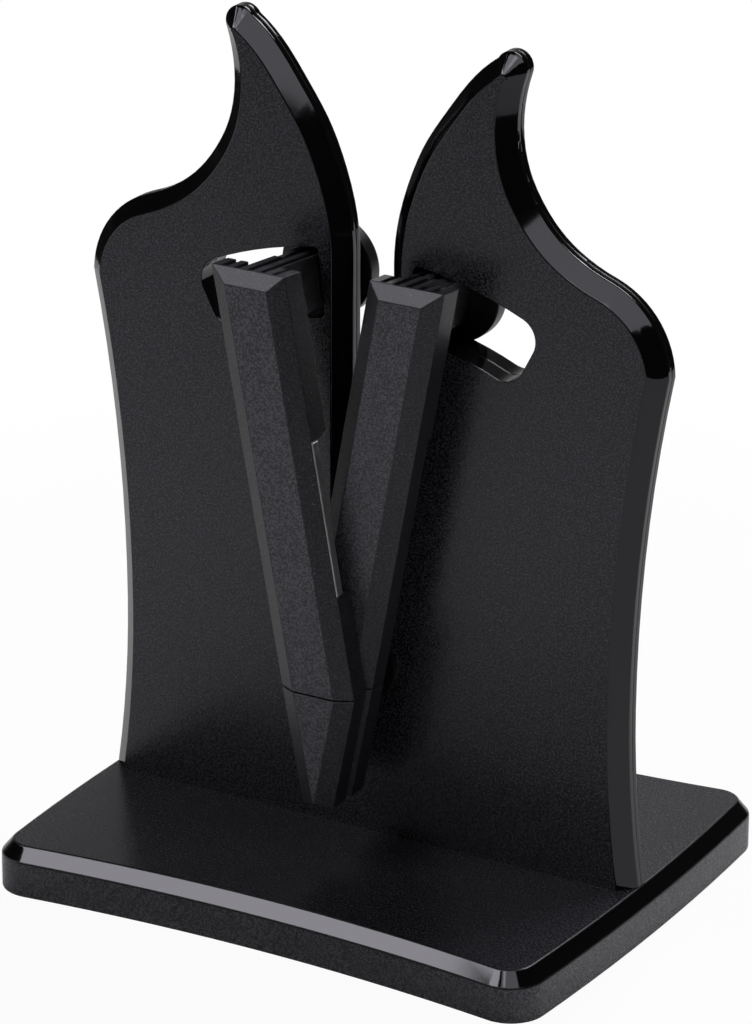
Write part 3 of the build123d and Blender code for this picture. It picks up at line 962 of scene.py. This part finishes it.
@dataclass(frozen=True)
class Softbox:
    """A rectangular lamp that looks at the sharpener; angles in degrees, lengths in metres."""

    name: str
    azimuth: float
    elevation: float
    distance: float
    width: float
    height: float
    radiance: float
    shine: Shine = Shine.ALL

    def build(self, aim: Vector) -> None:
        """Hang the lamp.

        Args:
            aim: the point that it faces.
        """
        lamp = bpy.data.lights.new(self.name, "AREA")
        lamp.shape = "RECTANGLE"
        lamp.size = self.width
        lamp.size_y = self.height
        lamp.energy = self.radiance * math.pi * self.width * self.height
        holder = bpy.data.objects.new(self.name, lamp)
        holder.visible_diffuse = self.shine is not Shine.GLOSSY
        holder.visible_glossy = self.shine is not Shine.MATT
        holder.visible_camera = False
        bpy.context.scene.collection.objects.link(holder)
        azimuth, elevation = math.radians(self.azimuth), math.radians(self.elevation)
        holder.matrix_world = (
            Matrix.Translation(aim)
            @ Matrix.Rotation(azimuth, 4, "Z")
            @ Matrix.Rotation(math.pi / 2 - elevation, 4, "X")
            @ Matrix.Translation((0, 0, self.distance))
        )


@dataclass(frozen=True)
class Floor:
    """The pale floor, in metres, with a little mottle."""

    reach: float = 3.0
    left: float = -0.5
    right: float = 0.36
    drop: float = 0.03 * MM
    mottle: Noise = Noise(9.0, 3.0)
    darker: Colour = (0.80, 0.80, 0.80)
    lighter: Colour = (0.83, 0.83, 0.83)
    white_near: float = 0.95
    white_more: float = 0.05
    white_rise: Span = (0.2, 0.34)

    def build(self) -> None:
        """Lay the floor, which the camera sees nearly white."""
        mesh = bpy.data.meshes.new("floor")
        sides = ((self.left, -1), (self.right, -1), (self.right, 1), (self.left, 1))
        corners = [(side, self.reach * end, -self.drop) for side, end in sides]
        mesh.from_pydata(corners, [], [(0, 1, 2, 3)])
        mesh.materials.append(self._material())
        floor = bpy.data.objects.new("floor", mesh)
        bpy.context.scene.collection.objects.link(floor)

    def _material(self) -> bpy.types.Material:
        """Return paper that turns white under the camera, fully so away from the sharpener."""
        material = bpy.data.materials.new("pale_floor")
        shader = Shader(material)
        point = shader.place()
        mottle = shader.noise(point, self.mottle)
        colour = shader.blend(mottle, self.darker, self.lighter)
        paper = shader.node("ShaderNodeBsdfDiffuse", None, {"Color": colour})
        white = shader.node("ShaderNodeEmission", None, {"Color": WHITE, "Strength": 1.0})
        settings = {"operation": "LENGTH"}
        reach = shader.node("ShaderNodeVectorMath", settings, {0: point}, "Value")
        white_share = self.white_near + reach.step(*self.white_rise) * self.white_more
        seen = shader.node("ShaderNodeLightPath", output="Is Camera Ray") * white_share
        mixed = shader.node("ShaderNodeMixShader", None, {0: seen, 1: paper, 2: white})
        shader.end("ShaderNodeOutputMaterial", mixed)
        return material


@dataclass(frozen=True)
class Room:
    """A dim room with a pale horizon at the back left, white to the camera."""

    ground_rise: Span = (-0.02, 0.0)
    sky_rise: Span = (0.02, 0.75)
    back_rise: Span = (0.1, 0.9)
    left_rise: Span = (-0.3, 0.5)
    glow: float = 0.62
    dim: float = 0.02

    def build(self) -> None:
        """Make the world."""
        world = bpy.data.worlds.new("studio_room")
        bpy.context.scene.world = world
        shader = Shader(world)
        direction = shader.node("ShaderNodeTexCoord", output="Generated")
        rise, depth, side = (
            shader.node("ShaderNodeSeparateXYZ", None, {0: direction}, axis) for axis in "ZYX"
        )
        horizon = (1.0 - rise.step(*self.sky_rise)) * rise.step(*self.ground_rise)
        back_left = depth.step(*self.back_rise) * (0.0 - side).step(*self.left_rise)
        level = horizon * back_left * self.glow + self.dim
        seen = shader.node("ShaderNodeLightPath", output="Is Camera Ray")
        room = shader.node("ShaderNodeBackground", None, {"Color": WHITE, "Strength": level})
        white = shader.node("ShaderNodeBackground", None, {"Color": WHITE, "Strength": 1.0})
        mixed = shader.node("ShaderNodeMixShader", None, {0: seen, 1: room, 2: white})
        shader.end("ShaderNodeOutputWorld", mixed)


@dataclass(frozen=True)
class PhotoCamera:
    """The camera as the photograph was taken; angles in degrees, the sensor in millimetres."""

    place: Triple = (0.54603, -0.93804, 0.51324)
    azimuth: float = 30.243
    elevation: float = 21.625
    roll: float = 0.179
    focal_px: float = 5497.17
    image_height: int = 1024
    sensor: float = 36.0
    clip: Span = (0.05, 20.0)

    def build(self) -> None:
        """Place the camera."""
        lens = bpy.data.cameras.new("photo_camera")
        lens.sensor_fit = "VERTICAL"
        lens.sensor_height = self.sensor
        lens.lens = self.focal_px / self.image_height * self.sensor
        lens.clip_start, lens.clip_end = self.clip
        camera = bpy.data.objects.new("photo_camera", lens)
        bpy.context.scene.collection.objects.link(camera)
        camera.matrix_world = (
            Matrix.Translation(self.place)
            @ Matrix.Rotation(math.radians(self.azimuth), 4, "Z")
            @ Matrix.Rotation(math.radians(90.0 - self.elevation), 4, "X")
            @ Matrix.Rotation(math.radians(self.roll), 4, "Z")
        )
        bpy.context.scene.camera = camera


@dataclass(frozen=True)
class Studio:
    """The floor, the surroundings, the lamps and the camera."""

    aim: Triple = (0.0, 0.0, 0.09)
    softboxes: tuple[Softbox, ...] = (
        Softbox("overhead_softbox", 174.0, 53.0, 1.4, width=0.9, height=0.6, radiance=9.4),
        Softbox("right_softbox", 28.0, 49.0, 1.5, 1.2, 1.0, radiance=1.6, shine=Shine.GLOSSY),
        Softbox("side_fill", 75.0, 45.0, 1.5, 1.0, 1.0, radiance=1.0, shine=Shine.MATT),
        Softbox("left_key", -50.0, 40.0, 0.45, 0.2, 0.2, radiance=3.4, shine=Shine.MATT),
        Softbox("left_card", -38.0, 38.0, 1.3, 1.0, 0.30, radiance=5.6, shine=Shine.GLOSSY),
        Softbox("middle_card", -16.0, 50.0, 1.3, 1.02, 0.27, radiance=3.0, shine=Shine.GLOSSY),
        Softbox("edge_card", -57.0, -3.0, 1.2, 0.55, 0.5, radiance=1.1, shine=Shine.GLOSSY),
    )

    def build(self) -> None:
        """Make the floor, world, lamps and camera."""
        Floor().build()
        Room().build()
        for softbox in self.softboxes:
            softbox.build(Vector(self.aim))
        PhotoCamera().build()
        settings = bpy.context.scene.view_settings
        settings.view_transform = "Standard"
        LOG.info("studio: %d softboxes", len(self.softboxes))


def main() -> None:
    """Build the sharpener's looks and its studio."""
    logging.basicConfig(level=logging.INFO, format="%(name)s %(message)s")
    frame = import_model()
    Stand(frame).build()
    for side in ("left", "right"):
        Arm(frame, side).build()
    Studio().build()


if __name__ == "__main__":
    main()
